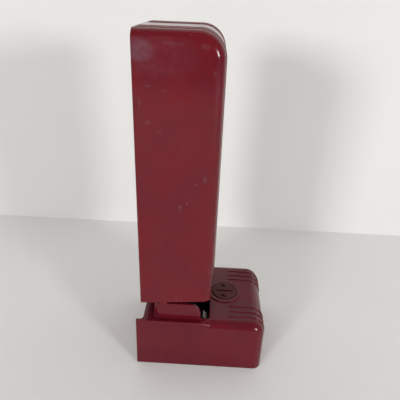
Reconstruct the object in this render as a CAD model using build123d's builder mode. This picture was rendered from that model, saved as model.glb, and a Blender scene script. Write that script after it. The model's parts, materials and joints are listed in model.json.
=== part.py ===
from build123d import *
from math import atan, cos, pi, radians, sin, sqrt, tan
import os

os.makedirs("parts", exist_ok=True)

# Desk stapler: a short moulded base with a turnable anvil, and a long moulded arm that is hinged on the
# base's neck and stands upright. Swung down by a quarter turn, the arm's ribbed face lies over the anvil.
# Sizes are millimetres. The origin is the middle of the underside, +X runs from the hinge end to the
# anvil end, +Z is up, and the part is symmetrical about y = 0.

# Fits shared by all pieces
running_clearance = 0.05
sliding_clearance = 0.1
side_clearance = 0.3
closed_gap = 2.35

# Base shell
base_length = 70.0
base_width = 56.66
base_height = 30.25
base_draft = 2.4
base_wall = 3.5
base_end_radius = 8.0
base_edge_radius = 5.0
runout_length = 5.0
runout_radius = 0.4
rim_lift = 0.3
end_recess = 3.6
recess_radius = 2.0
cheek = 1.1
post_radius = 3.5
post_inset_x = 6.0
post_inset_y = 5.8

# Neck on the base's deck, which carries the hinge
neck_setback = 9.0
neck_length = 25.6
neck_height = 9.9
neck_back_lean = 1.0
neck_front_lean = 0.6
neck_corner_radius = 3.5
neck_back_radius = 2.0
neck_shoulder_radius = 6.0
neck_hollow = 8.6
tongue_inset = 5.3
tongue_radius = 7.4
tongue_foot = 20.0

# Slot between the neck and the anvil end, and the spring leaves in it
slot_width = 4.6
slot_end_margin = 0.6
leaf_width = 5.0
leaf_thickness = 0.8
leaf_rise = 0.4
leaf_foot = 8.0
leaf_bend = 1.6
rivet_radius = 1.2
rivet_head_radius = 2.0
rivet_head_height = 0.9

# Hinge of the arm
pivot_setback = 24.0
pin_radius = 2.5
bush_radius = 3.6
hinge_boss_radius = 5.2
hinge_skin = 1.2

# Base plate, screws and pad
plate_thickness = 6.0
pad_thickness = 1.2
screw_radius = 1.3
screw_head_radius = 2.6
screw_head_height = 1.6
screw_depth = 10.0

# Anvil
throat = 23.5
anvil_radius = 7.2
anvil_rise = 0.9
anvil_seat_depth = 1.2
anvil_slot_length = 9.8
anvil_slot_width = 1.1
anvil_pocket_spacing = 9.1
anvil_pocket_shift = 0.6
anvil_pocket_length = 3.0
anvil_pocket_width = 1.3
anvil_pocket_slant = 45.0
anvil_cut_depth = 1.0
spindle_radius = 3.0
spindle_length = 3.2
clip_radius = 5.4
clip_thickness = 0.8
clip_groove_depth = 0.6
ring_width = 2.0
ring_rise = 0.6

# Ribs on the base and on the arm
rib_offsets = (12.2, 16.2, 20.2)
rib_width = 1.4
base_rib_height = 0.5
arm_rib_height = 0.25
rib_root = 0.6
rib_end_margin = 1.0
base_rib_margin = 11.0
rib_foot_margin = 0.8
base_rib_drop = 16.0

# Arm cover
arm_back_reach = 21.0
arm_face_reach = 16.0
arm_setback = 0.26
arm_reach = 125.64
arm_end_radius = 11.0
arm_edge_radius = 4.8
arm_foot_radius = 0.6
arm_wall = 2.2
face_wall = 2.6
foot_drop_back = 6.7
foot_drop_face = 3.5
notch_clearance = 1.4
stop_setback = 7.5
stop_length = 4.0
stop_gap = 0.05

# Back plate of the arm, with the collar of the press key
panel_thickness = 2.2
back_plate_foot = 4.6
back_plate_length = 46.5
collar_wall = 1.6
collar_depth = 8.2
lip_depth = 1.2
lip_height = 4.0
panel_gap = 0.3
cleat_length = 6.0
cleat_depth = 7.0
cleat_inset = 3.2

# Press key and driver
key_length = 26.0
key_width = 24.0
key_corner_radius = 5.0
key_crown = 0.6
key_flange = 1.2
key_flange_thickness = 1.5
key_edge_radius = 1.0
blade_thickness = 0.5
blade_clearance = 0.1
blade_width = 9.4
blade_grip = 4.0
blade_tongue_width = 8.0
blade_tongue_thickness = 3.0
blade_rivet_radius = 0.8
blade_rivet_head = 1.3
blade_rivet_spacing = 4.8
key_spring_spacing = 18.0
key_spring_radius = 1.9
key_spring_turns = 4
key_post_radius = 1.2
key_post_length = 9.0

# Magazine, staples and follower
sheet = 0.8
magazine_inner = 10.8
magazine_depth = 8.0
magazine_flange = 23.0
magazine_foot = 4.1
magazine_end_gap = 8.64
magazine_screw_spacing = 18.0
magazine_screw_radius = 1.0
magazine_screw_head = 1.9
magazine_screw_low = 18.0
magazine_screw_inset = 12.0
nose_length = 7.0
nose_width = 16.0
exit_width = 10.4
exit_gap = 0.2
wire = 0.5
staple_crown = 9.4
staple_height = 5.5
leg_gap = 0.2
strip_length = 50.0
guide_height = 7.4
rod_radius = 1.0
rod_head_radius = 1.8
bracket_thickness = 2.0
bracket_inset = 3.0
follower_length = 10.0
follower_tab_reach = 5.0
follower_tab_length = 4.0
follower_tab_width = 8.0
follower_spring_radius = 2.1
follower_spring_turns = 7
spring_wire = 0.35

# Loading door
door_knuckle_radius = 2.4
door_pin_radius = 1.0
door_pin_seat = 1.2
door_notch_radius = 7.0
door_rib_height = 1.6
door_rib_width = 1.4
door_rib_spacing = 24.0

# Places that follow from the sizes above
base_left = -base_length / 2
base_right = base_length / 2
base_end = base_right - base_rib_height
neck_left = base_left + neck_setback
neck_right = neck_left + neck_length
slot_right = neck_right + slot_width
edge_start = neck_right + runout_length
neck_top = base_height + neck_height
roof = base_height - base_wall
base_half_foot = base_width / 2
base_half_top = base_half_foot - tan(radians(base_draft)) * base_height
base_section = (
    (-base_half_foot, rim_lift),
    (base_half_foot, rim_lift),
    (base_half_top, base_height),
    (-base_half_top, base_height),
)
recess_x = base_left + end_recess
cavity_half_width = base_half_top - base_wall
cavity_length = base_right - recess_x - 2 * base_wall
cavity_x = (recess_x + base_right) / 2
post_x = cavity_length / 2 - post_inset_x
post_y = cavity_half_width - post_inset_y
post_spots = [(cavity_x + along * post_x, across * post_y) for along in (-1, 1) for across in (-1, 1)]
slot_length = 2 * (cavity_half_width - slot_end_margin)
plate_top = pad_thickness + plate_thickness
base_rib_low = base_height - base_rib_drop

pivot_x = base_left + pivot_setback
pivot_z = base_height + closed_gap + arm_face_reach
anvil_x = pivot_x + throat
anvil_top = base_height + anvil_rise

arm_back = pivot_x - arm_back_reach
arm_face = pivot_x + arm_face_reach
arm_top = pivot_z + arm_reach
arm_half_width = base_half_top - arm_setback
arm_inner = arm_half_width - arm_wall
face_inner = arm_face - face_wall
end_inner = arm_top - face_wall
neck_half_width = arm_inner - side_clearance
tongue_half_width = neck_half_width - tongue_inset
notch_top = pivot_z + neck_right - pivot_x + notch_clearance
arm_rib_low = notch_top + rib_foot_margin
boss_inner = tongue_half_width + side_clearance

staple_z = pivot_z + throat
floor = face_inner - sheet
panel_inner = arm_back + panel_thickness
back_plate_low = pivot_z - back_plate_foot
back_plate_high = back_plate_low + back_plate_length
cleat_low = pivot_z + foot_drop_back - back_plate_foot + cleat_inset + cleat_length / 2
cleat_high = back_plate_high - cleat_inset - cleat_length / 2
cleat_y = (boss_inner + arm_inner) / 2
cleat_spots = [(side * cleat_y, level) for side in (-1, 1) for level in (cleat_low, cleat_high)]
door_low = back_plate_high + panel_gap
door_pin_x = arm_back + door_knuckle_radius
door_pin_z = end_inner - door_knuckle_radius - panel_gap

key_back = panel_inner + collar_depth
key_inner = key_back + key_flange_thickness
blade_rivet_spots = [(key_inner + blade_grip / 2, side * blade_rivet_spacing / 2) for side in (-1, 1)]
leg_tip = floor - leg_gap
crown_back = leg_tip - staple_height
blade_tip = crown_back - blade_clearance
blade_low = staple_z - blade_thickness / 2
blade_high = staple_z + blade_thickness / 2
strip_low = blade_high + blade_clearance
strip_high = strip_low + strip_length
magazine_low = staple_z - magazine_foot
magazine_high = end_inner - magazine_end_gap
magazine_length = magazine_high - magazine_low
rod_x = leg_tip - staple_height / 2 + wire / 2
magazine_spots = [
    (side * magazine_screw_spacing / 2, level)
    for side in (-1, 1)
    for level in (magazine_low + magazine_screw_low, magazine_high - magazine_screw_inset)
]
bracket_low = magazine_high - bracket_inset - bracket_thickness
follower_low = strip_high + blade_clearance
follower_high = follower_low + follower_length


def rib(row, start, end, top, low, radius, height):
    """Rib in a row across the width, along a top, round its end corner and down the end."""
    with BuildPart() as made:
        with BuildLine(Plane.XZ.offset(-row)):
            Line((start, top), (end - radius, top))
            CenterArc((end - radius, top - radius), radius, 90, -90)
            Line((end, top - radius), (end, low))
        with BuildSketch(Plane((start, row, top), x_dir=(0, 1, 0), z_dir=(1, 0, 0))):
            with BuildLine():
                Polyline(
                    (-rib_width / 2, -rib_root),
                    (rib_width / 2, -rib_root),
                    (rib_width / 2, height / 2),
                    (rib_width / 2 - height / 2, height),
                    (height / 2 - rib_width / 2, height),
                    (-rib_width / 2, height / 2),
                    close=True,
                )
            make_face()
        sweep()
    return made.part


rib_rows = [side * offset for side in (-1, 1) for offset in rib_offsets]


def biarc(start, start_heading, end, end_heading):
    """Two tangent arcs that leave and arrive along the given headings."""
    chord = end - start
    along = chord.dot(start_heading + end_heading)
    spread = 2 * (1 - start_heading.dot(end_heading))
    reach = (sqrt(along**2 + spread * chord.dot(chord)) - along) / spread
    near = start + start_heading * reach
    far = end - end_heading * reach
    middle = (near + far) * 0.5
    TangentArc(start, middle, tangent=start_heading)
    TangentArc(middle, end, tangent=(far - near).normalized())


def coil(radius, length, turns):
    """Unbroken helical spring along Z from the origin, in arcs of a quarter turn."""
    steps = 4 * turns

    def place(step):
        angle = step * pi / 2
        return Vector(radius * cos(angle), radius * sin(angle), length * step / steps)

    def heading(step):
        angle = step * pi / 2
        return Vector(-radius * sin(angle), radius * cos(angle), length / (2 * pi * turns)).normalized()

    with BuildPart() as spring:
        with BuildLine() as helix:
            for step in range(steps):
                biarc(place(step), heading(step), place(step + 1), heading(step + 1))
        path = helix.wires()[0]
        with BuildSketch(Plane(origin=path @ 0, z_dir=path % 0)):
            RegularPolygon(spring_wire, 6)
        sweep(path=path)
    return spring.part


def report_gap(name, length, turns):
    """Print the least gap between neighbouring turns."""
    print(name, "least gap between turns", round(length / turns - 2 * spring_wire, 2), "mm")


def neck_block():
    """Neck with its leaning back, rounded shoulders and rounded back corners."""
    with BuildPart() as made:
        with BuildSketch(Plane.XZ) as side:
            with BuildLine():
                Polyline(
                    (neck_left, base_height),
                    (neck_right, base_height),
                    (neck_right - neck_front_lean, neck_top),
                    (neck_left + neck_back_lean, neck_top),
                    close=True,
                )
            make_face()
            fillet(side.vertices().group_by(Axis.Y)[-1].sort_by(Axis.X)[-1], neck_shoulder_radius)
            fillet(side.vertices().group_by(Axis.Y)[-1].sort_by(Axis.X)[0], neck_back_radius)
        extrude(amount=neck_half_width, both=True)
        with BuildSketch(Plane.XY.offset(base_height)) as plan:
            with Locations(((neck_left + neck_right) / 2, 0)):
                Rectangle(neck_length, 2 * neck_half_width)
            fillet(plan.vertices().group_by(Axis.X)[0], neck_corner_radius)
        extrude(amount=neck_height, mode=Mode.INTERSECT)
    return made.part


def edge_runout():
    """What is cut away where the rounded top edge runs out beside the neck."""
    lean = atan((base_half_foot - base_half_top) / (base_height - rim_lift))
    with BuildPart() as made:
        for x, radius in ((edge_start, base_edge_radius), (edge_start - runout_length, runout_radius)):
            reach = radius * tan((pi / 2 - lean) / 2)
            inner = (reach - base_half_top, base_height)
            outer = (-base_half_top - reach * sin(lean), base_height - reach * cos(lean))
            with BuildSketch(Plane.YZ.offset(x)):
                with BuildLine():
                    RadiusArc(inner, outer, -radius)
                    Polyline(
                        outer,
                        (-base_half_foot - 1, outer[1]),
                        (-base_half_foot - 1, base_height + 1),
                        (inner[0], base_height + 1),
                        inner,
                    )
                make_face()
        loft(ruled=True)
    return made.part


# Base shell: drafted block, rounded at the anvil end and sharp-edged round the neck
with BuildPart() as base_shell:
    with BuildSketch(Plane.XZ):
        with BuildLine():
            Polyline(
                (base_end, base_height - base_end_radius),
                (base_end, rim_lift),
                (edge_start, rim_lift),
                (edge_start, base_height),
                (base_end - base_end_radius, base_height),
            )
            CenterArc((base_end - base_end_radius, base_height - base_end_radius), base_end_radius, 0, 90)
        make_face()
    extrude(amount=base_half_foot, both=True)
    with BuildSketch(Plane.YZ):
        with BuildLine():
            Polyline(*base_section, close=True)
        make_face()
    extrude(amount=base_length, both=True, mode=Mode.INTERSECT)
    flanks = base_shell.faces().filter_by(lambda face: abs(face.normal_at().Y) > 0.9)
    fillet(
        flanks.edges().filter_by(
            lambda edge: edge.center().X > edge_start + 1 and edge.center().Z > rim_lift + 1
        ),
        base_edge_radius,
    )
    with BuildSketch(Plane.YZ.offset(base_left)):
        with BuildLine():
            Polyline(*base_section, close=True)
        make_face()
    extrude(amount=edge_start - base_left)
    add(edge_runout(), mode=Mode.SUBTRACT)
    add(mirror(edge_runout(), about=Plane.XZ), mode=Mode.SUBTRACT)
    add(neck_block())

    # tongue round the hinge pin
    with BuildSketch(Plane.XZ):
        with BuildLine():
            Polyline(
                (pivot_x + tongue_radius, pivot_z),
                (pivot_x + tongue_foot / 2, neck_top - 1),
                (pivot_x - tongue_foot / 2, neck_top - 1),
                (pivot_x - tongue_radius, pivot_z),
            )
            CenterArc((pivot_x, pivot_z), tongue_radius, 0, 180)
        make_face()
    extrude(amount=tongue_half_width, both=True)
    with BuildSketch(Plane.XZ):
        with Locations((pivot_x, pivot_z)):
            Circle(pin_radius)
    extrude(amount=tongue_half_width, both=True, mode=Mode.SUBTRACT)

    # ribs over the anvil end and the raised ring round the anvil
    for row in rib_rows:
        start = slot_right + base_rib_margin
        add(rib(row, start, base_end, base_height, base_rib_low, base_end_radius, base_rib_height))
    with BuildSketch(Plane.XY.offset(base_height)):
        with Locations((anvil_x, 0)):
            Circle(anvil_radius + side_clearance + ring_width)
            Circle(anvil_radius + side_clearance, mode=Mode.SUBTRACT)
    extrude(amount=ring_rise)

    # recessed hinge end between two thin cheeks
    with BuildSketch(Plane.XY.offset(rim_lift)) as recess:
        with Locations((base_left, 0)):
            Rectangle(2 * end_recess, 2 * (base_half_top - cheek))
        fillet(recess.vertices().group_by(Axis.X)[-1], recess_radius)
    extrude(amount=base_height, mode=Mode.SUBTRACT)

    # hollow underside with screw posts
    with BuildSketch(Plane.XY.offset(rim_lift)):
        with Locations((cavity_x, 0)):
            Rectangle(cavity_length, 2 * cavity_half_width)
    extrude(amount=roof - rim_lift, mode=Mode.SUBTRACT)
    with BuildSketch(Plane.XY.offset(plate_top)):
        with Locations(*post_spots):
            Circle(post_radius)
            Circle(screw_radius, mode=Mode.SUBTRACT)
    extrude(amount=roof - plate_top)

    # slot beside the neck, which is hollow between its cheeks there, and the seat of the anvil
    with BuildSketch(Plane.XY.offset(base_height)):
        with Locations((neck_right + slot_width / 2, 0)):
            Rectangle(slot_width, slot_length)
    extrude(amount=-base_wall, mode=Mode.SUBTRACT)
    with BuildSketch(Plane.XY.offset(neck_top)):
        with Locations((neck_right - neck_hollow / 2, 0)):
            Rectangle(neck_hollow, slot_length)
    extrude(amount=-neck_height - base_wall, mode=Mode.SUBTRACT)
    with BuildSketch(Plane.XY.offset(base_height)):
        with Locations((anvil_x, 0)):
            Circle(anvil_radius + running_clearance)
    extrude(amount=-anvil_seat_depth, mode=Mode.SUBTRACT)
    with BuildSketch(Plane.XY.offset(base_height)):
        with Locations((anvil_x, 0)):
            Circle(spindle_radius + running_clearance)
    extrude(amount=-base_wall, mode=Mode.SUBTRACT)
base_shell.part.label = "base_shell"
export_step(base_shell.part, "parts/base_shell.step")

# Steel base plate that closes and weighs down the base
plate_length = cavity_length - 2 * side_clearance
plate_width = 2 * (cavity_half_width - side_clearance)
with BuildPart() as base_plate:
    with BuildSketch(Plane.XY.offset(pad_thickness)):
        with Locations((cavity_x, 0)):
            Rectangle(plate_length, plate_width)
    extrude(amount=plate_thickness)
    with BuildSketch(Plane.XY.offset(pad_thickness)):
        with Locations(*post_spots):
            Circle(screw_radius)
    extrude(amount=plate_thickness, mode=Mode.SUBTRACT)
    with BuildSketch(Plane.XY.offset(pad_thickness)):
        with Locations(*post_spots):
            Circle(screw_head_radius)
    extrude(amount=screw_head_height, mode=Mode.SUBTRACT)
base_plate.part.label = "base_plate"
export_step(base_plate.part, "parts/base_plate.step")

# Screws that hold the base plate to the posts
with BuildPart() as base_plate_screws:
    with BuildSketch(Plane.XY.offset(pad_thickness)):
        with Locations(*post_spots):
            Circle(screw_head_radius)
    extrude(amount=screw_head_height)
    with BuildSketch(Plane.XY.offset(pad_thickness + screw_head_height)):
        with Locations(*post_spots):
            Circle(screw_radius)
    extrude(amount=plate_thickness - screw_head_height + screw_depth)
base_plate_screws.part.label = "base_plate_screws"
export_step(base_plate_screws.part, "parts/base_plate_screws.step")

# Rubber pad under the plate
with BuildPart() as base_pad:
    with BuildSketch():
        with Locations((cavity_x, 0)):
            RectangleRounded(plate_length, plate_width, 2 * base_wall)
    extrude(amount=pad_thickness)
base_pad.part.label = "base_pad"
export_step(base_pad.part, "parts/base_pad.step")

# Hinge pin: fixed in the tongue, hidden on the near side and flush on the far side
with BuildPart() as hinge_pin:
    with BuildSketch(Plane.XZ.offset(arm_half_width - hinge_skin)):
        with Locations((pivot_x, pivot_z)):
            Circle(pin_radius)
    extrude(amount=-(2 * arm_half_width - hinge_skin))
hinge_pin.part.label = "hinge_pin"
export_step(hinge_pin.part, "parts/hinge_pin.step")

# Spring leaves: a foot on the base plate and a blade that stands up through each end of the slot
leaf_x = neck_right + slot_width - side_clearance - leaf_thickness
leaf_y = slot_length / 2 - side_clearance - leaf_width / 2
leaf_hook = slot_width - 2 * side_clearance - 2 * leaf_thickness
leaf_rivet_spots = [(leaf_x - leaf_foot / 2, side * leaf_y) for side in (-1, 1)]
with BuildPart() as spring_leaves:
    with BuildSketch(Plane.XZ.offset(leaf_y), Plane.XZ.offset(-leaf_y)):
        with BuildLine():
            leaf_line = FilletPolyline(
                (leaf_x - leaf_foot, plate_top + leaf_thickness / 2),
                (leaf_x, plate_top + leaf_thickness / 2),
                (leaf_x, base_height + leaf_rise - leaf_hook),
                (leaf_x - leaf_hook, base_height + leaf_rise),
                radius=leaf_bend,
            )
            offset(leaf_line, amount=leaf_thickness / 2, kind=Kind.TANGENT)
        make_face()
    extrude(amount=leaf_width / 2, both=True)
    with BuildSketch(Plane.XY.offset(plate_top)):
        with Locations(*leaf_rivet_spots):
            Circle(rivet_radius)
    extrude(amount=2 * leaf_thickness, mode=Mode.SUBTRACT)
spring_leaves.part.label = "spring_leaves"
export_step(spring_leaves.part, "parts/spring_leaves.step")

# Rivets that hold the leaves on the plate
with BuildPart() as leaf_rivets:
    with BuildSketch(Plane.XY.offset(plate_top)):
        with Locations(*leaf_rivet_spots):
            Circle(rivet_radius)
    extrude(amount=leaf_thickness)
    with BuildSketch(Plane.XY.offset(plate_top + leaf_thickness)):
        with Locations(*leaf_rivet_spots):
            Circle(rivet_head_radius)
    extrude(amount=rivet_head_height)
leaf_rivets.part.label = "leaf_rivets"
export_step(leaf_rivets.part, "parts/leaf_rivets.step")

# Anvil disc: two pockets that clinch the legs, a slot to turn it by, and a grooved spindle
anvil_bottom = base_height - anvil_seat_depth
clip_top = roof - sheet
with BuildPart() as anvil_disc:
    with BuildSketch(Plane.XY.offset(anvil_bottom)):
        with Locations((anvil_x, 0)):
            Circle(anvil_radius)
    extrude(amount=anvil_top - anvil_bottom)
    chamfer(anvil_disc.edges().group_by(Axis.Z)[-1], side_clearance)
    with BuildSketch(Plane.XY.offset(anvil_bottom)):
        with Locations((anvil_x, 0)):
            Circle(spindle_radius)
    extrude(amount=-(anvil_bottom - roof + spindle_length))
    with BuildSketch(Plane.XY.offset(clip_top)):
        with Locations((anvil_x, 0)):
            Circle(spindle_radius)
            Circle(spindle_radius - clip_groove_depth, mode=Mode.SUBTRACT)
    extrude(amount=-clip_thickness, mode=Mode.SUBTRACT)
    with BuildSketch(Plane.XY.offset(anvil_top)):
        with Locations((anvil_x, 0)):
            SlotOverall(anvil_slot_length, anvil_slot_width)
        with Locations(
            (anvil_x - anvil_pocket_shift, anvil_pocket_spacing / 2),
            (anvil_x - anvil_pocket_shift, -anvil_pocket_spacing / 2),
        ):
            SlotOverall(anvil_pocket_length, anvil_pocket_width, rotation=-anvil_pocket_slant)
    extrude(amount=-anvil_cut_depth, mode=Mode.SUBTRACT)
anvil_disc.part.label = "anvil_disc"
export_step(anvil_disc.part, "parts/anvil_disc.step")

# Clip in the spindle's groove, under the base's roof
with BuildPart() as anvil_clip:
    with BuildSketch(Plane.XY.offset(clip_top - clip_thickness)):
        with Locations((anvil_x, 0)):
            Circle(clip_radius)
            Circle(spindle_radius - clip_groove_depth, mode=Mode.SUBTRACT)
    extrude(amount=clip_thickness)
anvil_clip.part.label = "anvil_clip"
export_step(anvil_clip.part, "parts/anvil_clip.step")

# Spring washer between the roof and the clip
with BuildPart() as anvil_washer:
    with BuildSketch(Plane.XY.offset(clip_top)):
        with Locations((anvil_x, 0)):
            Circle(clip_radius - side_clearance)
            Circle(spindle_radius + sliding_clearance, mode=Mode.SUBTRACT)
    extrude(amount=roof - clip_top)
anvil_washer.part.label = "anvil_washer"
export_step(anvil_washer.part, "parts/anvil_washer.step")

# Arm cover: moulded housing, open at its back and foot, ribbed over its face and rounded end
arm_foot = pivot_z - foot_drop_back
with BuildPart() as arm_cover:
    with BuildSketch(Plane.XZ):
        with BuildLine():
            Polyline(
                (arm_face, arm_top - arm_end_radius),
                (arm_face, pivot_z - foot_drop_face),
                (arm_back, arm_foot),
                (arm_back, arm_top),
                (arm_face - arm_end_radius, arm_top),
            )
            CenterArc((arm_face - arm_end_radius, arm_top - arm_end_radius), arm_end_radius, 0, 90)
        make_face()
    extrude(amount=arm_half_width, both=True)
    walls = arm_cover.faces().filter_by(Plane.XZ)
    fillet(
        walls.edges().filter_by(
            lambda edge: edge.center().X > arm_back + 1 and edge.center().Z > pivot_z
        ),
        arm_edge_radius,
    )
    foot = arm_cover.faces().sort_by(Axis.Z)[0]
    fillet(foot.edges().filter_by(lambda edge: edge.center().X > arm_back + 1), arm_foot_radius)

    # ribs over the face and the end
    for row in rib_rows:
        start = arm_back + rib_end_margin
        add(rib(row, start, arm_face, arm_top, arm_rib_low, arm_end_radius, arm_rib_height))

    # inside, with the face cut away round the neck
    with BuildSketch(Plane.XZ):
        with BuildLine():
            inner_radius = arm_end_radius - face_wall
            Polyline(
                (face_inner, end_inner - inner_radius),
                (face_inner, arm_foot - 1),
                (arm_back - 1, arm_foot - 1),
                (arm_back - 1, end_inner),
                (face_inner - inner_radius, end_inner),
            )
            CenterArc((face_inner - inner_radius, end_inner - inner_radius), inner_radius, 0, 90)
        make_face()
    extrude(amount=arm_inner, both=True, mode=Mode.SUBTRACT)
    with BuildSketch(Plane.YZ.offset(face_inner - 1)):
        with Locations((0, (arm_foot - 1 + notch_top) / 2)):
            Rectangle(2 * arm_inner, notch_top - arm_foot + 1)
    extrude(amount=face_wall + 2, mode=Mode.SUBTRACT)

    # hinge bosses, stops on the neck and cleats for the back plate, on both walls
    for side in (-1, 1):
        with BuildSketch(Plane.XZ.offset(side * boss_inner)):
            with Locations((pivot_x, pivot_z)):
                Circle(hinge_boss_radius)
        extrude(amount=side * (arm_inner - boss_inner))
        with BuildSketch(Plane.XZ.offset(side * boss_inner)):
            with Locations((pivot_x - stop_setback - stop_length / 2, (neck_top + stop_gap + pivot_z) / 2)):
                Rectangle(stop_length, pivot_z - neck_top - stop_gap)
            with Locations(
                (panel_inner + cleat_depth / 2, cleat_low),
                (panel_inner + cleat_depth / 2, cleat_high),
            ):
                Rectangle(cleat_depth, cleat_length)
        extrude(amount=side * (arm_inner - boss_inner))
        with BuildSketch(Plane.XZ.offset(side * boss_inner)):
            with Locations((pivot_x, pivot_z)):
                Circle(bush_radius)
        extrude(amount=side * (arm_inner - boss_inner), mode=Mode.SUBTRACT)
        with BuildSketch(Plane.XZ.offset(side * arm_inner)):
            with Locations((door_pin_x, door_pin_z)):
                Circle(door_pin_radius)
        extrude(amount=side * door_pin_seat, mode=Mode.SUBTRACT)

    # bore of the hinge pin, closed by a skin on the near side
    with BuildSketch(Plane.XZ.offset(arm_half_width - hinge_skin)):
        with Locations((pivot_x, pivot_z)):
            Circle(pin_radius + running_clearance)
    extrude(amount=-2 * arm_half_width, mode=Mode.SUBTRACT)

    # window of the nose plate
    with BuildSketch(Plane.YZ.offset(face_inner)):
        with Locations((0, staple_z)):
            Rectangle(nose_width, nose_length)
    extrude(amount=face_wall, mode=Mode.SUBTRACT)
    with BuildSketch(Plane.YZ.offset(panel_inner)):
        with Locations(*cleat_spots):
            Circle(screw_radius)
    extrude(amount=cleat_depth, mode=Mode.SUBTRACT)
    with BuildSketch(Plane.YZ.offset(face_inner)):
        with Locations(*magazine_spots):
            Circle(magazine_screw_radius)
    extrude(amount=face_wall / 2, mode=Mode.SUBTRACT)
arm_cover.part.label = "arm_cover"
export_step(arm_cover.part, "parts/arm_cover.step")

# Bushes in the arm's hinge bosses
with BuildPart() as hinge_bushes:
    for side in (-1, 1):
        with BuildSketch(Plane.XZ.offset(side * boss_inner)):
            with Locations((pivot_x, pivot_z)):
                Circle(bush_radius)
                Circle(pin_radius + running_clearance, mode=Mode.SUBTRACT)
        extrude(amount=side * (arm_inner - boss_inner))
hinge_bushes.part.label = "hinge_bushes"
export_step(hinge_bushes.part, "parts/hinge_bushes.step")

# Back plate: closes the arm's back over the hinge, with a collar that guides the press key
collar_width = key_width + 2 * sliding_clearance
collar_length = key_length + 2 * sliding_clearance
with BuildPart() as back_plate:
    with BuildSketch(Plane.YZ.offset(arm_back)):
        with Locations((0, (back_plate_low + back_plate_high) / 2)):
            Rectangle(2 * arm_inner, back_plate_length)
    extrude(amount=panel_thickness)
    with BuildSketch(Plane.YZ.offset(panel_inner)):
        with Locations((0, staple_z)):
            RectangleRounded(
                collar_width + 2 * collar_wall,
                collar_length + 2 * collar_wall,
                key_corner_radius + collar_wall,
            )
    extrude(amount=collar_depth)
    with BuildSketch(Plane.YZ.offset(panel_inner)):
        with Locations((0, back_plate_high)):
            Rectangle(2 * boss_inner, 2 * lip_height)
    extrude(amount=lip_depth)
    with BuildSketch(Plane.YZ.offset(arm_back)):
        with Locations((0, staple_z)):
            RectangleRounded(collar_width, collar_length, key_corner_radius + sliding_clearance)
    extrude(amount=panel_thickness + collar_depth, mode=Mode.SUBTRACT)
    with BuildSketch(Plane.YZ.offset(arm_back)):
        with Locations(*cleat_spots):
            Circle(screw_radius)
    extrude(amount=panel_thickness, mode=Mode.SUBTRACT)
    with BuildSketch(Plane.YZ.offset(arm_back)):
        with Locations(*cleat_spots):
            Circle(screw_head_radius)
    extrude(amount=screw_head_height, mode=Mode.SUBTRACT)
back_plate.part.label = "back_plate"
export_step(back_plate.part, "parts/back_plate.step")

# Screws of the back plate, sunk flush
with BuildPart() as back_plate_screws:
    with BuildSketch(Plane.YZ.offset(arm_back)):
        with Locations(*cleat_spots):
            Circle(screw_head_radius)
    extrude(amount=screw_head_height)
    with BuildSketch(Plane.YZ.offset(arm_back + screw_head_height)):
        with Locations(*cleat_spots):
            Circle(screw_radius)
    extrude(amount=panel_thickness - screw_head_height + cleat_depth)
back_plate_screws.part.label = "back_plate_screws"
export_step(back_plate_screws.part, "parts/back_plate_screws.step")

# Press key: crowned cap with a flange behind the collar, a tongue for the blade and two spring posts
with BuildPart() as press_key:
    with BuildSketch(Plane.YZ.offset(arm_back - key_crown)):
        with Locations((0, staple_z)):
            RectangleRounded(key_width, key_length, key_corner_radius)
    extrude(amount=key_inner - arm_back + key_crown)
    fillet(press_key.edges().group_by(Axis.X)[0], key_edge_radius)
    with BuildSketch(Plane.YZ.offset(key_back)):
        with Locations((0, staple_z)):
            RectangleRounded(
                key_width + 2 * key_flange,
                key_length + 2 * key_flange,
                key_corner_radius + key_flange,
            )
    extrude(amount=key_flange_thickness)
    with BuildSketch(Plane.YZ.offset(key_inner)):
        with Locations((0, blade_high + blade_tongue_thickness / 2)):
            Rectangle(blade_tongue_width, blade_tongue_thickness)
    extrude(amount=blade_grip)
    with BuildSketch(Plane.YZ.offset(key_inner)):
        with Locations((key_spring_spacing / 2, staple_z), (-key_spring_spacing / 2, staple_z)):
            Circle(key_post_radius)
    extrude(amount=key_post_length)
    with BuildSketch(Plane.XY.offset(blade_high)):
        with Locations(*blade_rivet_spots):
            Circle(blade_rivet_radius)
    extrude(amount=blade_tongue_thickness, mode=Mode.SUBTRACT)
press_key.part.label = "press_key"
export_step(press_key.part, "parts/press_key.step")

# Driver blade that pushes one staple out through the nose
with BuildPart() as driver_blade:
    with BuildSketch(Plane.XY.offset(blade_low)):
        with Locations(((key_inner + blade_tip) / 2, 0)):
            Rectangle(blade_tip - key_inner, blade_width)
        with Locations(*blade_rivet_spots):
            Circle(blade_rivet_radius, mode=Mode.SUBTRACT)
    extrude(amount=blade_thickness)
driver_blade.part.label = "driver_blade"
export_step(driver_blade.part, "parts/driver_blade.step")

# Rivets that join the blade to the key's tongue
with BuildPart() as blade_rivets:
    with BuildSketch(Plane.XY.offset(blade_low)):
        with Locations(*blade_rivet_spots):
            Circle(blade_rivet_radius)
    extrude(amount=blade_thickness + blade_tongue_thickness)
    with BuildSketch(Plane.XY.offset(blade_low)):
        with Locations(*blade_rivet_spots):
            Circle(blade_rivet_head)
    extrude(amount=-blade_thickness)
blade_rivets.part.label = "blade_rivets"
export_step(blade_rivets.part, "parts/blade_rivets.step")

# Coil springs that return the key
key_spring_length = floor - key_inner - 2 * (spring_wire + side_clearance)
key_spring_foot = key_inner + spring_wire + side_clearance
with BuildPart() as key_springs:
    with Locations(
        Plane((key_spring_foot, key_spring_spacing / 2, staple_z), z_dir=(1, 0, 0)),
        Plane((key_spring_foot, -key_spring_spacing / 2, staple_z), z_dir=(1, 0, 0)),
    ):
        add(coil(key_spring_radius, key_spring_length, key_spring_turns))
report_gap("key_springs", key_spring_length, key_spring_turns)
key_springs.part.label = "key_springs"
export_step(key_springs.part, "parts/key_springs.step")

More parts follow.
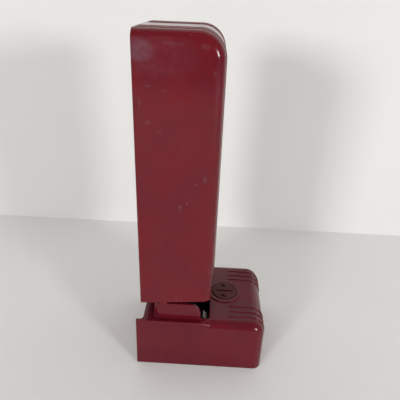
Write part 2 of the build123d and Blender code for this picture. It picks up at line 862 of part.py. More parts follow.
# Magazine: flanged sheet-steel channel that the staples run in
with BuildPart() as magazine:
    with BuildSketch(Plane.XY.offset(magazine_low)):
        with Locations((floor + sheet / 2, 0)):
            Rectangle(sheet, magazine_flange)
        with Locations(
            (floor - magazine_depth / 2, (magazine_inner + sheet) / 2),
            (floor - magazine_depth / 2, -(magazine_inner + sheet) / 2),
        ):
            Rectangle(magazine_depth, sheet)
    extrude(amount=magazine_length)
    with BuildSketch(Plane.YZ.offset(floor)):
        with Locations((0, staple_z)):
            Rectangle(exit_width, blade_thickness + 2 * exit_gap)
        with Locations(*magazine_spots):
            Circle(magazine_screw_radius)
    extrude(amount=sheet, mode=Mode.SUBTRACT)
magazine.part.label = "magazine"
export_step(magazine.part, "parts/magazine.step")

# Screws of the magazine
with BuildPart() as magazine_screws:
    with BuildSketch(Plane.YZ.offset(floor)):
        with Locations(*magazine_spots):
            Circle(magazine_screw_radius)
    extrude(amount=sheet + face_wall / 2)
    with BuildSketch(Plane.YZ.offset(floor)):
        with Locations(*magazine_spots):
            Circle(magazine_screw_head)
    extrude(amount=-magazine_screw_radius)
magazine_screws.part.label = "magazine_screws"
export_step(magazine_screws.part, "parts/magazine_screws.step")

# Nose plate with the exit of the staples, flush in the ribbed face
with BuildPart() as nose_plate:
    with BuildSketch(Plane.YZ.offset(face_inner)):
        with Locations((0, staple_z)):
            Rectangle(nose_width, nose_length)
            Rectangle(exit_width, blade_thickness + 2 * exit_gap, mode=Mode.SUBTRACT)
    extrude(amount=face_wall)
nose_plate.part.label = "nose_plate"
export_step(nose_plate.part, "parts/nose_plate.step")

# Driver guide: block at the front of the channel that backs the blade
with BuildPart() as driver_guide:
    with BuildSketch(Plane.XY.offset(magazine_low)):
        with Locations((floor - guide_height / 2, 0)):
            Rectangle(guide_height, magazine_inner)
    extrude(amount=blade_low - blade_clearance - magazine_low)
driver_guide.part.label = "driver_guide"
export_step(driver_guide.part, "parts/driver_guide.step")

# Strip of staples, crowns to the back and legs towards the exit
with BuildPart() as staple_strip:
    with BuildSketch(Plane.XY.offset(strip_low)):
        with Locations((leg_tip - staple_height / 2, 0)):
            Rectangle(staple_height, staple_crown)
        with Locations((leg_tip - (staple_height - wire) / 2, 0)):
            Rectangle(staple_height - wire, staple_crown - 2 * wire, mode=Mode.SUBTRACT)
    extrude(amount=strip_length)
staple_strip.part.label = "staple_strip"
export_step(staple_strip.part, "parts/staple_strip.step")

# Bracket at the end of the channel, which holds the guide rod
with BuildPart() as rod_bracket:
    with BuildSketch(Plane.XY.offset(bracket_low)):
        with Locations((floor - guide_height / 2, 0)):
            Rectangle(guide_height, magazine_inner)
        with Locations((rod_x, 0)):
            Circle(rod_radius, mode=Mode.SUBTRACT)
    extrude(amount=bracket_thickness)
rod_bracket.part.label = "rod_bracket"
export_step(rod_bracket.part, "parts/rod_bracket.step")

# Guide rod between the legs of the staples, headed behind its bracket
with BuildPart() as guide_rod:
    with BuildSketch(Plane.XY.offset(strip_low + blade_thickness)):
        with Locations((rod_x, 0)):
            Circle(rod_radius)
    extrude(amount=bracket_low + bracket_thickness - strip_low - blade_thickness)
    with BuildSketch(Plane.XY.offset(bracket_low + bracket_thickness)):
        with Locations((rod_x, 0)):
            Circle(rod_head_radius)
    extrude(amount=rod_radius)
guide_rod.part.label = "guide_rod"
export_step(guide_rod.part, "parts/guide_rod.step")

# Follower that pushes the strip, with a finger tab to draw it back
with BuildPart() as follower:
    with BuildSketch(Plane.XY.offset(follower_low)):
        with Locations((floor - sliding_clearance - guide_height / 2, 0)):
            Rectangle(guide_height, magazine_inner - 2 * sliding_clearance)
    extrude(amount=follower_length)
    with BuildSketch(Plane.XY.offset(follower_high - follower_tab_length)):
        with Locations((floor - guide_height - follower_tab_reach / 2, 0)):
            Rectangle(follower_tab_reach, follower_tab_width)
    extrude(amount=follower_tab_length)
    with BuildSketch(Plane.XY.offset(follower_low)):
        with Locations((rod_x, 0)):
            Circle(rod_radius + running_clearance)
    extrude(amount=follower_length, mode=Mode.SUBTRACT)
    fillet(follower.edges().filter_by(Axis.Z).group_by(Axis.X)[0], rod_radius)
follower.part.label = "follower"
export_step(follower.part, "parts/follower.step")

# Coil spring on the guide rod, between the follower and the bracket
follower_spring_length = bracket_low - follower_high - 2 * (spring_wire + side_clearance)
with BuildPart() as follower_spring:
    with Locations((rod_x, 0, follower_high + spring_wire + side_clearance)):
        add(coil(follower_spring_radius, follower_spring_length, follower_spring_turns))
report_gap("follower_spring", follower_spring_length, follower_spring_turns)
follower_spring.part.label = "follower_spring"
export_step(follower_spring.part, "parts/follower_spring.step")

# Loading door: panel in the arm's back with a hinge knuckle at its upper end and a finger notch
door_half_width = arm_inner - side_clearance
with BuildPart() as loading_door:
    with BuildSketch(Plane.XZ):
        with Locations((arm_back + panel_thickness / 2, (door_low + door_pin_z) / 2)):
            Rectangle(panel_thickness, door_pin_z - door_low)
        with Locations((door_pin_x, door_pin_z)):
            Circle(door_knuckle_radius)
    extrude(amount=door_half_width, both=True)
    with BuildSketch(Plane.YZ.offset(panel_inner)):
        with Locations((0, (door_low + door_pin_z) / 2)):
            with GridLocations(door_rib_spacing, 0, 2, 1):
                Rectangle(door_rib_width, door_pin_z - door_low - 4 * lip_height)
    extrude(amount=door_rib_height)
    with BuildSketch(Plane.YZ.offset(arm_back)):
        with Locations((0, door_low)):
            Circle(door_notch_radius)
    extrude(amount=panel_thickness, mode=Mode.SUBTRACT)
    with BuildSketch(Plane.XZ):
        with Locations((door_pin_x, door_pin_z)):
            Circle(door_pin_radius + running_clearance)
    extrude(amount=door_half_width, both=True, mode=Mode.SUBTRACT)
loading_door.part.label = "loading_door"
export_step(loading_door.part, "parts/loading_door.step")

# Hinge pin of the door, held in blind seats of the arm's walls
with BuildPart() as door_pin:
    with BuildSketch(Plane.XZ):
        with Locations((door_pin_x, door_pin_z)):
            Circle(door_pin_radius)
    extrude(amount=arm_inner + door_pin_seat, both=True)
door_pin.part.label = "door_pin"
export_step(door_pin.part, "parts/door_pin.step")
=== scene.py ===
import json
import math

import bmesh
import bpy
from mathutils import Matrix, Vector


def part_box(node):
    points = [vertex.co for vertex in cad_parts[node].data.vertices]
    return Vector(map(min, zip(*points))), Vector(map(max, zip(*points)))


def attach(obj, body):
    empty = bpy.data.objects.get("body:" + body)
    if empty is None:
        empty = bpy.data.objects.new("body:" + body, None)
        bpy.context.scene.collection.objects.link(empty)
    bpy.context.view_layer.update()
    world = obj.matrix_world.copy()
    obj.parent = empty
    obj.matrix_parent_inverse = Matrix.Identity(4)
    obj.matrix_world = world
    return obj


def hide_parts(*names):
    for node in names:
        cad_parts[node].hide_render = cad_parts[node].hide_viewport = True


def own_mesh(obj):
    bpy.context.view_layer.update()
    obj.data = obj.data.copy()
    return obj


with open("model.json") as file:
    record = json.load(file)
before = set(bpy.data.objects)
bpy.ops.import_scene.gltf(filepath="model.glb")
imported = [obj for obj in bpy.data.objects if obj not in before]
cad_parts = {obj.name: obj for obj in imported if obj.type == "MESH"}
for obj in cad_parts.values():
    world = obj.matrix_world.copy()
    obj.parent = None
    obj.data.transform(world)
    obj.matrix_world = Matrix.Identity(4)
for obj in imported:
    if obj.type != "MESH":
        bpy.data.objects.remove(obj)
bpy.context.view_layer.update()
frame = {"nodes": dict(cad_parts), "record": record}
nodes = frame["nodes"]

MM = 0.001
X, Y, Z = range(3)


def lowest(node, axis):
    """Lowest coordinate of a CAD node along an axis, in millimetres to two decimals."""
    return round(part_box(node)[0][axis] / MM, 2)


def highest(node, axis):
    """Highest coordinate of a CAD node along an axis, in millimetres to two decimals."""
    return round(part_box(node)[1][axis] / MM, 2)


def middle(node, axis):
    """Middle of a CAD node along an axis, in millimetres to two decimals."""
    return round((lowest(node, axis) + highest(node, axis)) / 2, 2)


# The photograph's camera: place and nearest depth in metres, angles in degrees, lens in millimetres
CAMERA_PLACE = (0.0009, -0.18723, 0.1852)
CAMERA_YAW = 1.47
CAMERA_PITCH = 26.9
CAMERA_ROLL = 2.25
CAMERA_LENS = 36.0
SENSOR_WIDTH = 36.0
CAMERA_NEAREST = 0.01

# Stage and lights: places and sizes in metres, angles in degrees
STAGE_SIZE = 6.0
WALL_Y = 0.127
FLOOR_FRONT = -0.8
LIT_POINT = (0.0, 0.0, 0.16)
LEFT_BOX = {"place": (-0.558, -0.839, 0.33), "energy": 2.85, "size": 0.20}
RIGHT_BOX = {"place": (0.695, -0.696, 0.314), "energy": 2.7, "size": 0.17}
BOX_SPREAD = 150.0
CEILING = {"place": (0.0, 0.15, 1.1), "energy": 0.85}
CEILING_ANGLE = 60.0
ROOM_LIGHT = 0.39
ROOM_SEEN = 1.0

# Colours, linear
MAROON = (0.147, 0.0042, 0.0104)
MAROON_WORN = (0.134, 0.016, 0.022)
MAROON_DEEP = (0.123, 0.0046, 0.0114)
ARM_TINT = (1.0, 1.0, 1.0)
# The base's tint is painted shade: it makes the base a darker, cooler copy of the arm's moulding
BASE_SHADE_TINT = (0.86, 1.0, 1.15)
SCUFF_GREY = (0.17, 0.115, 0.12)
# Bluish pale colour of painted sheen: reflection painted on the arm's upper corner
PAINTED_SHEEN_BLUE = (0.16, 0.09, 0.12)
STEEL = (0.55, 0.55, 0.54)
STEEL_TARNISH = (0.36, 0.34, 0.32)
SPRING_STEEL = (0.22, 0.21, 0.19)
SPRING_TARNISH = (0.13, 0.12, 0.105)
ZINC = (0.66, 0.67, 0.68)
ZINC_TARNISH = (0.48, 0.48, 0.48)
BRASS = (0.62, 0.44, 0.17)
BRASS_TARNISH = (0.33, 0.2, 0.08)
ANVIL_BROWN = (0.072, 0.010, 0.012)
ANVIL_RED = (0.098, 0.021, 0.023)
ANVIL_RIM = (0.14, 0.08, 0.08)
# Near black for painted shade in the anvil's slot and pockets
ANVIL_RECESS_SHADE = (0.008, 0.004, 0.004)
BLACK_STEEL = (0.018, 0.018, 0.02)
BLACK_WORN = (0.045, 0.043, 0.042)
BLACK_EDGE = (0.2, 0.19, 0.18)
RUBBER = (0.012, 0.012, 0.012)
RUBBER_PALE = (0.03, 0.029, 0.028)
PALE_FLOOR = (0.86, 0.855, 0.84)
PALE_WALL = (0.87, 0.86, 0.845)
PATCHY_SHARE = 0.97
ROOM = (0.64, 0.635, 0.62)

# How patterns are squeezed along X, Y and Z: lines that lie level or stand upright, and short marks
LEVEL_LINES = (1.0, 1.0, 14.0)
UPRIGHT_LINES = (14.0, 14.0, 1.0)
MARK_SHAPE = (1.0, 1.0, 0.2)

# Directions of the short marks in the plastic, as turns about X, Y and Z in radians
MARK_TURNS = ((0.3, 0.5, 0.2), (-0.4, -0.9, 0.1), (0.1, 1.4, 0.3))

# Rubbed places on the arm's near side: centre and half sizes along X and Z in millimetres, and strength
SCUFFS = {
    # The upper corner mark is partly a painted highlight, the left lamp's reflection on the rounded
    # corner, over real rubbing
    "upper_corner_scuff_and_highlight": ((-28.3, 167.4), (4.6, 2.8), 0.14),
    "upper_middle": ((-15.5, 169.2), (5.0, 1.0), 0.16),
    "end_corner": ((-3.2, 168.4), (2.2, 1.4), 0.26),
    "end_nick": ((0.7, 158.8), (0.8, 1.4), 0.25),
    "high_pair_left": ((-25.9, 153.1), (1.5, 0.8), 0.22),
    "high_pair_right": ((-19.4, 151.6), (1.2, 0.8), 0.20),
    "left_run_high": ((-29.4, 146.0), (0.9, 3.0), 0.26),
    "left_run_low": ((-26.2, 138.2), (1.8, 1.2), 0.26),
    "left_run_end": ((-21.5, 134.5), (2.2, 0.8), 0.16),
    "centre_nick": ((-11.2, 126.5), (1.2, 0.8), 0.24),
    "right_nick": ((-1.4, 113.4), (1.0, 2.2), 0.40),
    "right_nick_tail": ((-5.5, 111.1), (1.2, 0.6), 0.36),
    "low_smear": ((-12.1, 98.8), (1.1, 3.0), 0.30),
    "low_smear_tip": ((-9.0, 101.4), (0.8, 1.0), 0.26),
    "foot_nick": ((-21.5, 78.0), (1.2, 0.8), 0.24),
}

# Painted sheen: smooth bluish patches of reflection on the same side, given in the same way
SHEEN_PATCHES = {
    "corner": ((-29.2, 166.4), (7.5, 5.2), 0.52),
    "upper": ((-22.0, 164.5), (19.0, 12.0), 0.14),
}

# The arm's near side, and how far in from it marks start and are at full strength, in millimetres
NEAR_SIDE = lowest("arm_cover", Y)
MARKS_START = 0.8
MARKS_FULL = 0.4

# Springs: the wire's radius and places in millimetres, end turns that lie close, their pitch in wire radii
SPRING_WIRE = 0.35
SPRING_SIDES = 10
STEPS_PER_TURN = 28
END_TURNS = 0.9
CLOSE_PITCH = 2.05
ROD_X = middle("guide_rod", X)
FOLLOWER_TOP = highest("follower", Z)
BRACKET_LOW = lowest("rod_bracket", Z)
FOLLOWER_COIL_RADIUS = 2.1
FOLLOWER_COIL_TURNS = 9
KEY_INNER = -20.1
MAGAZINE_FLOOR = highest("rod_bracket", X)
KEY_SPRING_Y = 9.0
KEY_SPRING_Z = middle("press_key", Z)
KEY_COIL_RADIUS = 1.9
KEY_COIL_TURNS = 7

# Staples: wire, bend and places in millimetres, and the share of the wire's width that is drawn
STAPLE_WIRE = 0.5
STAPLE_DRAWN = 0.96
STAPLE_SIDES = 8
STAPLE_BEND = 0.5
BEND_STEPS = 4
STAPLE_REACH = highest("staple_strip", Y)
STAPLE_BACK = lowest("staple_strip", X)
STAPLE_TIP = highest("staple_strip", X)
STRIP_LOW = lowest("staple_strip", Z)
STRIP_HIGH = highest("staple_strip", Z)

# Slotted screws: places and sizes in millimetres, turns in degrees
COVER_SCREW_FACE = lowest("back_plate", X)
COVER_SCREW_Y = 21.95
COVER_SCREW_LEVELS = (56.9, 84.3)
COVER_SCREW = {"radius": 2.55, "head": 1.6, "shank": 1.25, "reach": 9.2, "step": 0.25}
RAIL_SCREW_Y = 9.0
RAIL_SCREW_LEVELS = (86.0, 151.0)
RAIL_SCREW = {"radius": 1.85, "head": 1.0, "shank": 0.95, "reach": 3.1, "step": 0.3}
RAIL_SCREW_FACE = MAGAZINE_FLOOR - RAIL_SCREW["head"]
HALF_SLOT_SHARE = 0.28
FIRST_TURN = 25.0
NEXT_TURN = 67.0
SCREW_SIDES = 32

# Edges of drawn pieces that bend more than this are sharp, in degrees
SHARP_ANGLE = 35.0

# A mix node's colour sockets, which share their names with its other sockets
MIX_FIRST = 6
MIX_SECOND = 7
MIX_RESULT = 2


class Shader:
    """A node material under construction: short calls that add and link nodes."""

    def __init__(self, name):
        self.material = bpy.data.materials.new(name)
        self.material.use_nodes = True
        self.tree = self.material.node_tree
        self.surface = self.tree.nodes["Principled BSDF"]
        self.place = self.tree.nodes.new("ShaderNodeTexCoord").outputs["Object"]

    def node(self, kind, links=None, **settings):
        """New node with its settings, and its inputs fed."""
        made = self.tree.nodes.new(kind)
        for key, value in settings.items():
            setattr(made, key, value)
        for key, value in (links or {}).items():
            self.feed(made.inputs[key], value)
        return made

    def feed(self, socket, value):
        """Link an output to a socket, or set a constant on it."""
        if isinstance(value, bpy.types.NodeSocket):
            self.tree.links.new(value, socket)
        else:
            socket.default_value = value

    def set(self, **sockets):
        """Feed the surface's sockets, named with underscores for spaces."""
        for key, value in sockets.items():
            self.feed(self.surface.inputs[key.replace("_", " ")], value)

    def axes(self):
        """Object coordinates as separate outputs X, Y and Z."""
        return self.node("ShaderNodeSeparateXYZ", {0: self.place}).outputs

    def stretched(self, scale, turn=(0.0, 0.0, 0.0)):
        """Object coordinates, turned and scaled differently along each axis."""
        links = {"Vector": self.place, "Rotation": turn, "Scale": scale}
        return self.node("ShaderNodeMapping", links).outputs["Vector"]

    def noise(self, scale, detail=4.0, roughness=0.55, place=None):
        """Cloudy pattern with about this many features to the metre."""
        links = {"Vector": place or self.place, "Scale": scale, "Detail": detail, "Roughness": roughness}
        return self.node("ShaderNodeTexNoise", links).outputs["Fac"]

    def ramp(self, value, low, high, start=0.0, end=1.0):
        """Value carried smoothly from low..high to start..end."""
        links = {"Value": value, "From Min": low, "From Max": high, "To Min": start, "To Max": end}
        return self.node("ShaderNodeMapRange", links, interpolation_type="SMOOTHSTEP").outputs["Result"]

    def math(self, operation, first, second):
        """Arithmetic on two values."""
        return self.node("ShaderNodeMath", {0: first, 1: second}, operation=operation).outputs["Value"]

    def mix(self, share, first, second):
        """Colour mix from first to second."""
        made = self.node("ShaderNodeMix", data_type="RGBA")
        self.feed(made.inputs["Factor"], share)
        for socket, colour in ((MIX_FIRST, first), (MIX_SECOND, second)):
            self.feed(made.inputs[socket], (*colour, 1.0) if isinstance(colour, tuple) else colour)
        return made.outputs[MIX_RESULT]

    def bump(self, height, strength, distance, normal=None):
        """Normal that follows a pattern as if it were relief."""
        links = {"Height": height, "Strength": strength, "Distance": distance}
        if normal is not None:
            links["Normal"] = normal
        return self.node("ShaderNodeBump", links).outputs["Normal"]

    def edges(self, radius):
        """Rounded normal, and a mask that is 1 on sharp edges."""
        rounded = self.node("ShaderNodeBevel", {"Radius": radius}, samples=6).outputs["Normal"]
        plain = self.node("ShaderNodeNewGeometry").outputs["Normal"]
        turn = self.node("ShaderNodeVectorMath", {0: rounded, 1: plain}, operation="DOT_PRODUCT")
        return rounded, self.ramp(turn.outputs["Value"], low=0.995, high=0.86)


def maroon_material(name, tint):
    """Glossy moulded plastic: clouds, rubbed edges, specks, short marks, placed painted sheen, and scuffs.
    """
    s = Shader(name)
    tones = (MAROON, MAROON_DEEP, MAROON_WORN)
    plain, deep, worn = (tuple(part * share for part, share in zip(tone, tint)) for tone in tones)
    rounded, edge = s.edges(radius=0.4 * MM)
    place = s.axes()
    near_side = s.ramp(place["Y"], low=(NEAR_SIDE + MARKS_START) * MM, high=(NEAR_SIDE + MARKS_FULL) * MM)

    def patch(centre, half, strength):
        """Soft round mask on the arm's near side."""
        across = s.math("DIVIDE", s.math("SUBTRACT", place["X"], centre[0] * MM), half[0] * MM)
        along = s.math("DIVIDE", s.math("SUBTRACT", place["Z"], centre[1] * MM), half[1] * MM)
        away = s.math("ADD", s.math("MULTIPLY", across, across), s.math("MULTIPLY", along, along))
        return s.math("MULTIPLY", s.ramp(away, low=1.0, high=0.1, end=strength), near_side)

    # clouds, with worn plastic on rubbed edges and in a fine haze
    cloud = s.noise(scale=45.0, roughness=0.6)
    colour = s.mix(s.ramp(cloud, low=0.36, high=0.64), deep, plain)
    rub = s.math("MULTIPLY", edge, s.ramp(s.noise(scale=140.0), low=0.42, high=0.64, end=0.4))
    haze = s.ramp(s.noise(scale=110.0, detail=8.0, roughness=0.72), low=0.50, high=0.74, end=0.5)
    colour = s.mix(s.math("MAXIMUM", rub, haze), colour, worn)

    # specks and short marks, in scattered groups
    speck = s.ramp(s.noise(scale=520.0, detail=2.0), low=0.70, high=0.76, end=0.3)
    for turn in MARK_TURNS:
        mark = s.noise(scale=700.0, detail=2.0, place=s.stretched(MARK_SHAPE, turn))
        speck = s.math("MAXIMUM", speck, s.ramp(mark, low=0.68, high=0.76, end=0.3))
    group = s.ramp(s.noise(scale=40.0, detail=3.0), low=0.52, high=0.66)
    pale = s.math("MULTIPLY", speck, group)

    # painted sheen (reflection painted as bluish patches) and scuffs at their places
    cloudy = s.ramp(s.noise(scale=190.0, detail=6.0, roughness=0.65), low=0.34, high=0.66, start=0.35)
    for sheen_patch in SHEEN_PATCHES.values():
        colour = s.mix(s.math("MULTIPLY", patch(*sheen_patch), cloudy), colour, PAINTED_SHEEN_BLUE)
    ragged = s.ramp(s.noise(scale=620.0, detail=5.0, roughness=0.75), low=0.28, high=0.72)
    for scuff in SCUFFS.values():
        pale = s.math("MAXIMUM", pale, s.math("MULTIPLY", patch(*scuff), ragged))
    colour = s.mix(pale, colour, SCUFF_GREY)

    # gloss, which scuffs dull, over a faint ripple
    gloss = s.noise(scale=90.0, detail=6.0, roughness=0.65)
    rough = s.ramp(gloss, low=0.3, high=0.75, start=0.12, end=0.20)
    rough = s.math("ADD", rough, s.math("MULTIPLY", pale, 0.3))
    ripple = s.noise(scale=700.0, detail=3.0)
    normal = s.bump(ripple, strength=0.05, distance=0.02 * MM, normal=rounded)
    s.set(Base_Color=colour, Roughness=rough, Normal=normal, IOR=1.54, Specular_IOR_Level=0.29)
    return s.material


def metal_material(name, colour, tarnish, roughness, lines=LEVEL_LINES):
    """Drawn or brushed metal with fine lines and cloudy tarnish."""
    s = Shader(name)
    drawn = s.noise(scale=420.0, detail=3.0, place=s.stretched(lines))
    cloud = s.noise(scale=160.0, detail=5.0)
    tone = s.mix(s.ramp(cloud, low=0.4, high=0.72), colour, tarnish)
    rough = s.ramp(drawn, low=0.3, high=0.7, start=roughness - 0.08, end=roughness + 0.1)
    normal = s.bump(drawn, strength=0.15, distance=0.03 * MM)
    s.set(Base_Color=tone, Metallic=1.0, Roughness=rough, Normal=normal)
    return s.material


def anvil_material():
    """Dark brown tarnished steel, rubbed a little brighter on its edges, with painted shade making it
    darkest in its recesses.
    """
    s = Shader("anvil_tarnish")
    rounded, edge = s.edges(radius=0.2 * MM)
    cloud = s.noise(scale=240.0, detail=6.0)
    tone = s.mix(s.ramp(cloud, low=0.35, high=0.7), ANVIL_BROWN, ANVIL_RED)
    tone = s.mix(s.math("MULTIPLY", edge, 0.2), tone, ANVIL_RIM)
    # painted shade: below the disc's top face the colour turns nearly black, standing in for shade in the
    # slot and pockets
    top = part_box("anvil_disc")[1].z
    recess_shade = s.ramp(s.axes()["Z"], low=top - 0.05 * MM, high=top - 0.3 * MM, end=0.9)
    tone = s.mix(recess_shade, tone, ANVIL_RECESS_SHADE)
    rough = s.ramp(cloud, low=0.3, high=0.7, start=0.42, end=0.58)
    normal = s.bump(cloud, strength=0.1, distance=0.05 * MM, normal=rounded)
    s.set(Base_Color=tone, Metallic=0.2, Roughness=rough, Normal=normal, Specular_IOR_Level=0.25)
    return s.material


def blackened_material():
    """Blackened steel with a thin worn sheen."""
    s = Shader("blackened_steel")
    rounded, edge = s.edges(radius=0.2 * MM)
    cloud = s.noise(scale=130.0, detail=6.0)
    tone = s.mix(s.ramp(cloud, low=0.4, high=0.7), BLACK_STEEL, BLACK_WORN)
    tone = s.mix(s.math("MULTIPLY", edge, 0.5), tone, BLACK_EDGE)
    rough = s.ramp(cloud, low=0.3, high=0.7, start=0.42, end=0.6)
    normal = s.bump(cloud, strength=0.1, distance=0.05 * MM, normal=rounded)
    s.set(Base_Color=tone, Metallic=0.6, Roughness=rough, Normal=normal)
    return s.material


def rubber_material():
    """Dull rubber sheet with a fine pebble."""
    s = Shader("pad_rubber")
    pebble = s.node("ShaderNodeTexVoronoi", {"Vector": s.place, "Scale": 1400.0}).outputs["Distance"]
    tone = s.mix(s.ramp(s.noise(scale=90.0), low=0.35, high=0.7), RUBBER, RUBBER_PALE)
    normal = s.bump(pebble, strength=0.5, distance=0.15 * MM)
    s.set(Base_Color=tone, Roughness=0.85, Normal=normal)
    return s.material


materials = {
    "maroon_plastic": maroon_material("maroon_moulding", ARM_TINT),
    "steel": metal_material("bright_steel", STEEL, STEEL_TARNISH, roughness=0.3),
    "spring_steel": metal_material("spring_steel", SPRING_STEEL, SPRING_TARNISH, roughness=0.42),
    "zinc_wire": metal_material("zinc_wire", ZINC, ZINC_TARNISH, roughness=0.32, lines=UPRIGHT_LINES),
    "brass": metal_material("dull_brass", BRASS, BRASS_TARNISH, roughness=0.36),
    "anvil_steel": anvil_material(),
    "black_steel": blackened_material(),
    "rubber": rubber_material(),
}
for subpart in frame["record"]["subparts"]:
    node = nodes[subpart["node"]]
    node.data.materials.clear()
    node.data.materials.append(materials[subpart["material_slot"]])
# The base takes a darker, cooler copy of the moulding: painted shade
nodes["base_shell"].data.materials[0] = maroon_material("base_moulding_shaded", BASE_SHADE_TINT)


def piece(name, bm, slot, replaced):
    """Link a finished bmesh as a piece on the arm, in place of a CAD node."""
    mesh = bpy.data.meshes.new(name)
    bmesh.ops.recalc_face_normals(bm, faces=bm.faces)
    bm.to_mesh(mesh)
    bm.free()
    mesh.shade_smooth()
    mesh.set_sharp_from_angle(angle=math.radians(SHARP_ANGLE))
    mesh.materials.append(materials[slot])
    made = bpy.data.objects.new(name, mesh)
    bpy.context.scene.collection.objects.link(made)
    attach(made, "arm")
    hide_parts(replaced)
    return made


def tube(bm, points, radius, sides):
    """Round wire through the points, closed at both ends."""
    rings = []
    side = None
    for index, point in enumerate(points):
        before = points[max(index - 1, 0)]
        after = points[min(index + 1, len(points) - 1)]
        along = (after - before).normalized()
        if side is None:
            side = along.orthogonal().normalized()
        side = (side - along * side.dot(along)).normalized()
        up = along.cross(side)
        ring = []
        for k in range(sides):
            angle = 2 * math.pi * k / sides
            ring.append(bm.verts.new(point + (side * math.cos(angle) + up * math.sin(angle)) * radius))
        rings.append(ring)
    for first, second in zip(rings, rings[1:]):
        for k in range(sides):
            bm.faces.new((first[k], first[k - 1], second[k - 1], second[k]))
    bm.faces.new(rings[0])
    bm.faces.new(rings[-1])


def coil(bm, start, axis, radius, length, turns):
    """Round-wire helix from start along axis, whose end turns lie close."""
    along = Vector(axis)
    first = along.orthogonal().normalized()
    second = along.cross(first)
    close = CLOSE_PITCH * SPRING_WIRE * MM
    open_length = length - 2 * END_TURNS * close
    steps = STEPS_PER_TURN * turns
    points = []
    for step in range(steps + 1):
        turn = step / steps * turns
        angle = 2 * math.pi * turn
        ease = min(max((turn - END_TURNS) / (turns - 2 * END_TURNS), 0.0), 1.0)
        first_turns = min(turn, END_TURNS) * close
        last_turns = max(turn - turns + END_TURNS, 0.0) * close
        height = first_turns + ease * open_length + last_turns
        outward = (first * math.cos(angle) + second * math.sin(angle)) * radius
        points.append(Vector(start) + along * height + outward)
    tube(bm, points, SPRING_WIRE * MM, SPRING_SIDES)


def make_springs():
    """Round-wire coils in place of the six-sided ones."""
    bm = bmesh.new()
    low = (FOLLOWER_TOP + SPRING_WIRE) * MM
    high = (BRACKET_LOW - SPRING_WIRE) * MM
    start = (ROD_X * MM, 0.0, low)
    coil(bm, start, (0, 0, 1), FOLLOWER_COIL_RADIUS * MM, high - low, FOLLOWER_COIL_TURNS)
    spring = piece("follower_coil", bm, "spring_steel", "follower_spring")
    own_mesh(spring)

    bm = bmesh.new()
    near = (KEY_INNER + SPRING_WIRE) * MM
    far = (MAGAZINE_FLOOR - SPRING_WIRE) * MM
    for side in (-1, 1):
        start = (near, side * KEY_SPRING_Y * MM, KEY_SPRING_Z * MM)
        coil(bm, start, (1, 0, 0), KEY_COIL_RADIUS * MM, far - near, KEY_COIL_TURNS)
    spring = piece("key_coils", bm, "spring_steel", "key_springs")
    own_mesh(spring)


def make_staples():
    """The strip as single staples, side by side."""
    bm = bmesh.new()
    half = STAPLE_WIRE / 2
    reach = STAPLE_REACH - half
    back = STAPLE_BACK + half
    leg = []
    for k in range(BEND_STEPS + 1):
        angle = math.pi / 2 * k / BEND_STEPS
        x = back + STAPLE_BEND * (1 - math.cos(angle))
        y = reach - STAPLE_BEND * (1 - math.sin(angle))
        leg.append((x, y))
    leg.append((STAPLE_TIP, reach))
    path = [(x, -y) for x, y in reversed(leg)] + leg
    count = round((STRIP_HIGH - STRIP_LOW) / STAPLE_WIRE)
    for index in range(count):
        level = STRIP_LOW + half + index * STAPLE_WIRE
        points = [Vector((x, y, level)) * MM for x, y in path]
        tube(bm, points, STAPLE_DRAWN * half * MM, STAPLE_SIDES)
    piece("staples", bm, "zinc_wire", "staple_strip")


def circle(radius):
    """Outline of a full circle."""
    angles = [2 * math.pi * k / SCREW_SIDES for k in range(SCREW_SIDES)]
    return [(radius * math.cos(a), radius * math.sin(a)) for a in angles]


def half_head(radius, half_slot, side):
    """Outline of a circle's part on one side of the drive slot."""
    limit = math.asin(half_slot / radius)
    steps = SCREW_SIDES // 2
    angles = [limit + (math.pi - 2 * limit) * k / steps for k in range(steps + 1)]
    return [(radius * math.cos(a) * side, radius * math.sin(a) * side) for a in angles]


def prism(bm, outline, spot, turn, start, end):
    """Closed prism along X, from start to end, on an outline turned about its spot."""
    y, z = spot
    rings = []
    for x in (start, end):
        ring = []
        for a, b in outline:
            across = a * math.cos(turn) - b * math.sin(turn)
            up = a * math.sin(turn) + b * math.cos(turn)
            ring.append(bm.verts.new(Vector((x, y + across, z + up)) * MM))
        rings.append(ring)
    for k in range(len(outline)):
        bm.faces.new((rings[0][k], rings[0][k - 1], rings[1][k - 1], rings[1][k]))
    bm.faces.new(rings[0])
    bm.faces.new(rings[1])


def slotted_screws(name, replaced, across, levels, face, radius, head, shank, reach, step):
    """Four slotted screws that face the arm's back: a head with a stepped rim over a plain shank."""
    bm = bmesh.new()
    half_slot = HALF_SLOT_SHARE * radius
    slot_floor = face + head / 2
    spots = [(side * across, level) for side in (-1, 1) for level in levels]
    for index, spot in enumerate(spots):
        turn = math.radians(FIRST_TURN + NEXT_TURN * index)
        prism(bm, circle(radius), spot, turn, slot_floor, face + head)
        prism(bm, circle(shank), spot, turn, face + head, face + reach)
        for side in (-1, 1):
            prism(bm, half_head(radius, half_slot, side), spot, turn, face + step, slot_floor)
            prism(bm, half_head(radius - step, half_slot, side), spot, turn, face, face + step)
    piece(name, bm, "steel", replaced)


def make_screws():
    """Screws of the back plate and of the magazine."""
    slotted_screws(
        "cover_screws", "back_plate_screws",
        across=COVER_SCREW_Y, levels=COVER_SCREW_LEVELS, face=COVER_SCREW_FACE, **COVER_SCREW,
    )
    slotted_screws(
        "rail_screws", "magazine_screws",
        across=RAIL_SCREW_Y, levels=RAIL_SCREW_LEVELS, face=RAIL_SCREW_FACE, **RAIL_SCREW,
    )


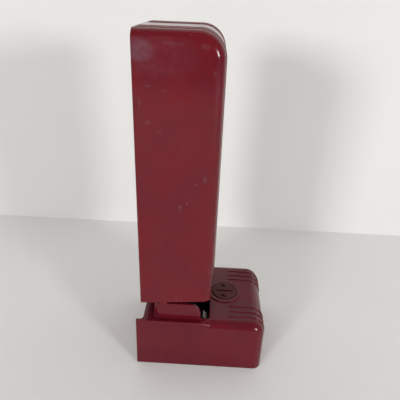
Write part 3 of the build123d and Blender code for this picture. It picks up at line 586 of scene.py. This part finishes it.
def make_stage():
    """Pale floor, and a pale wall that shows only from its front."""
    def sheet(name, colour, place, turn=0.0):
        rotation = (math.radians(turn), 0.0, 0.0)
        bpy.ops.mesh.primitive_plane_add(size=STAGE_SIZE, location=place, rotation=rotation)
        made = bpy.context.object
        made.name = name
        s = Shader(name)
        shade = tuple(part * PATCHY_SHARE for part in colour)
        tone = s.mix(s.ramp(s.noise(scale=5.0), low=0.3, high=0.7), colour, shade)
        s.set(Base_Color=tone, Roughness=0.9, Specular_IOR_Level=0.1)
        made.data.materials.append(s.material)
        return s

    sheet("floor", PALE_FLOOR, (0.0, FLOOR_FRONT + STAGE_SIZE / 2, 0.0))
    s = sheet("wall", PALE_WALL, (0.0, WALL_Y, 0.0), turn=90.0)
    clear = s.node("ShaderNodeBsdfTransparent").outputs["BSDF"]
    behind = s.node("ShaderNodeNewGeometry").outputs["Backfacing"]
    shown = s.node("ShaderNodeMixShader", {0: behind, 1: s.surface.outputs["BSDF"], 2: clear})
    s.feed(s.tree.nodes["Material Output"].inputs["Surface"], shown.outputs["Shader"])


def make_camera():
    """The photograph's camera, turned by its roll, then pitch, then yaw."""
    data = bpy.data.cameras.new("camera")
    data.lens = CAMERA_LENS
    data.sensor_width = SENSOR_WIDTH
    data.clip_start = CAMERA_NEAREST
    camera = bpy.data.objects.new("camera", data)
    bpy.context.scene.collection.objects.link(camera)
    turn = Matrix.Rotation(math.radians(CAMERA_YAW), 4, "Z")
    turn @= Matrix.Rotation(math.radians(90.0 - CAMERA_PITCH), 4, "X")
    turn @= Matrix.Rotation(math.radians(CAMERA_ROLL), 4, "Z")
    camera.matrix_world = Matrix.Translation(CAMERA_PLACE) @ turn
    bpy.context.scene.camera = camera


def make_lights():
    """Low soft boxes at the front left and right, a soft ceiling light and an even dim room."""
    def lamp(name, kind, place, **settings):
        data = bpy.data.lights.new(name, kind)
        for key, value in settings.items():
            setattr(data, key, value)
        made = bpy.data.objects.new(name, data)
        bpy.context.scene.collection.objects.link(made)
        made.location = place
        made.rotation_euler = (Vector(LIT_POINT) - Vector(place)).to_track_quat("-Z", "Y").to_euler()
        return made

    lamp("left_box", "AREA", spread=math.radians(BOX_SPREAD), **LEFT_BOX)
    lamp("right_box", "AREA", spread=math.radians(BOX_SPREAD), **RIGHT_BOX)
    ceiling = lamp("ceiling", "SUN", angle=math.radians(CEILING_ANGLE), **CEILING)
    ceiling.visible_glossy = False
    world = bpy.data.worlds.new("room")
    bpy.context.scene.world = world
    world.use_nodes = True
    tree = world.node_tree
    back = tree.nodes["Background"]
    back.inputs["Color"].default_value = (*ROOM, 1.0)
    rays = tree.nodes.new("ShaderNodeLightPath")
    level = tree.nodes.new("ShaderNodeMapRange")
    tree.links.new(rays.outputs["Is Camera Ray"], level.inputs["Value"])
    level.inputs["To Min"].default_value = ROOM_LIGHT
    level.inputs["To Max"].default_value = ROOM_SEEN
    tree.links.new(level.outputs["Result"], back.inputs["Strength"])


make_springs()
make_staples()
make_screws()
make_stage()
make_camera()
make_lights()
bpy.context.scene.view_settings.view_transform = "Standard"
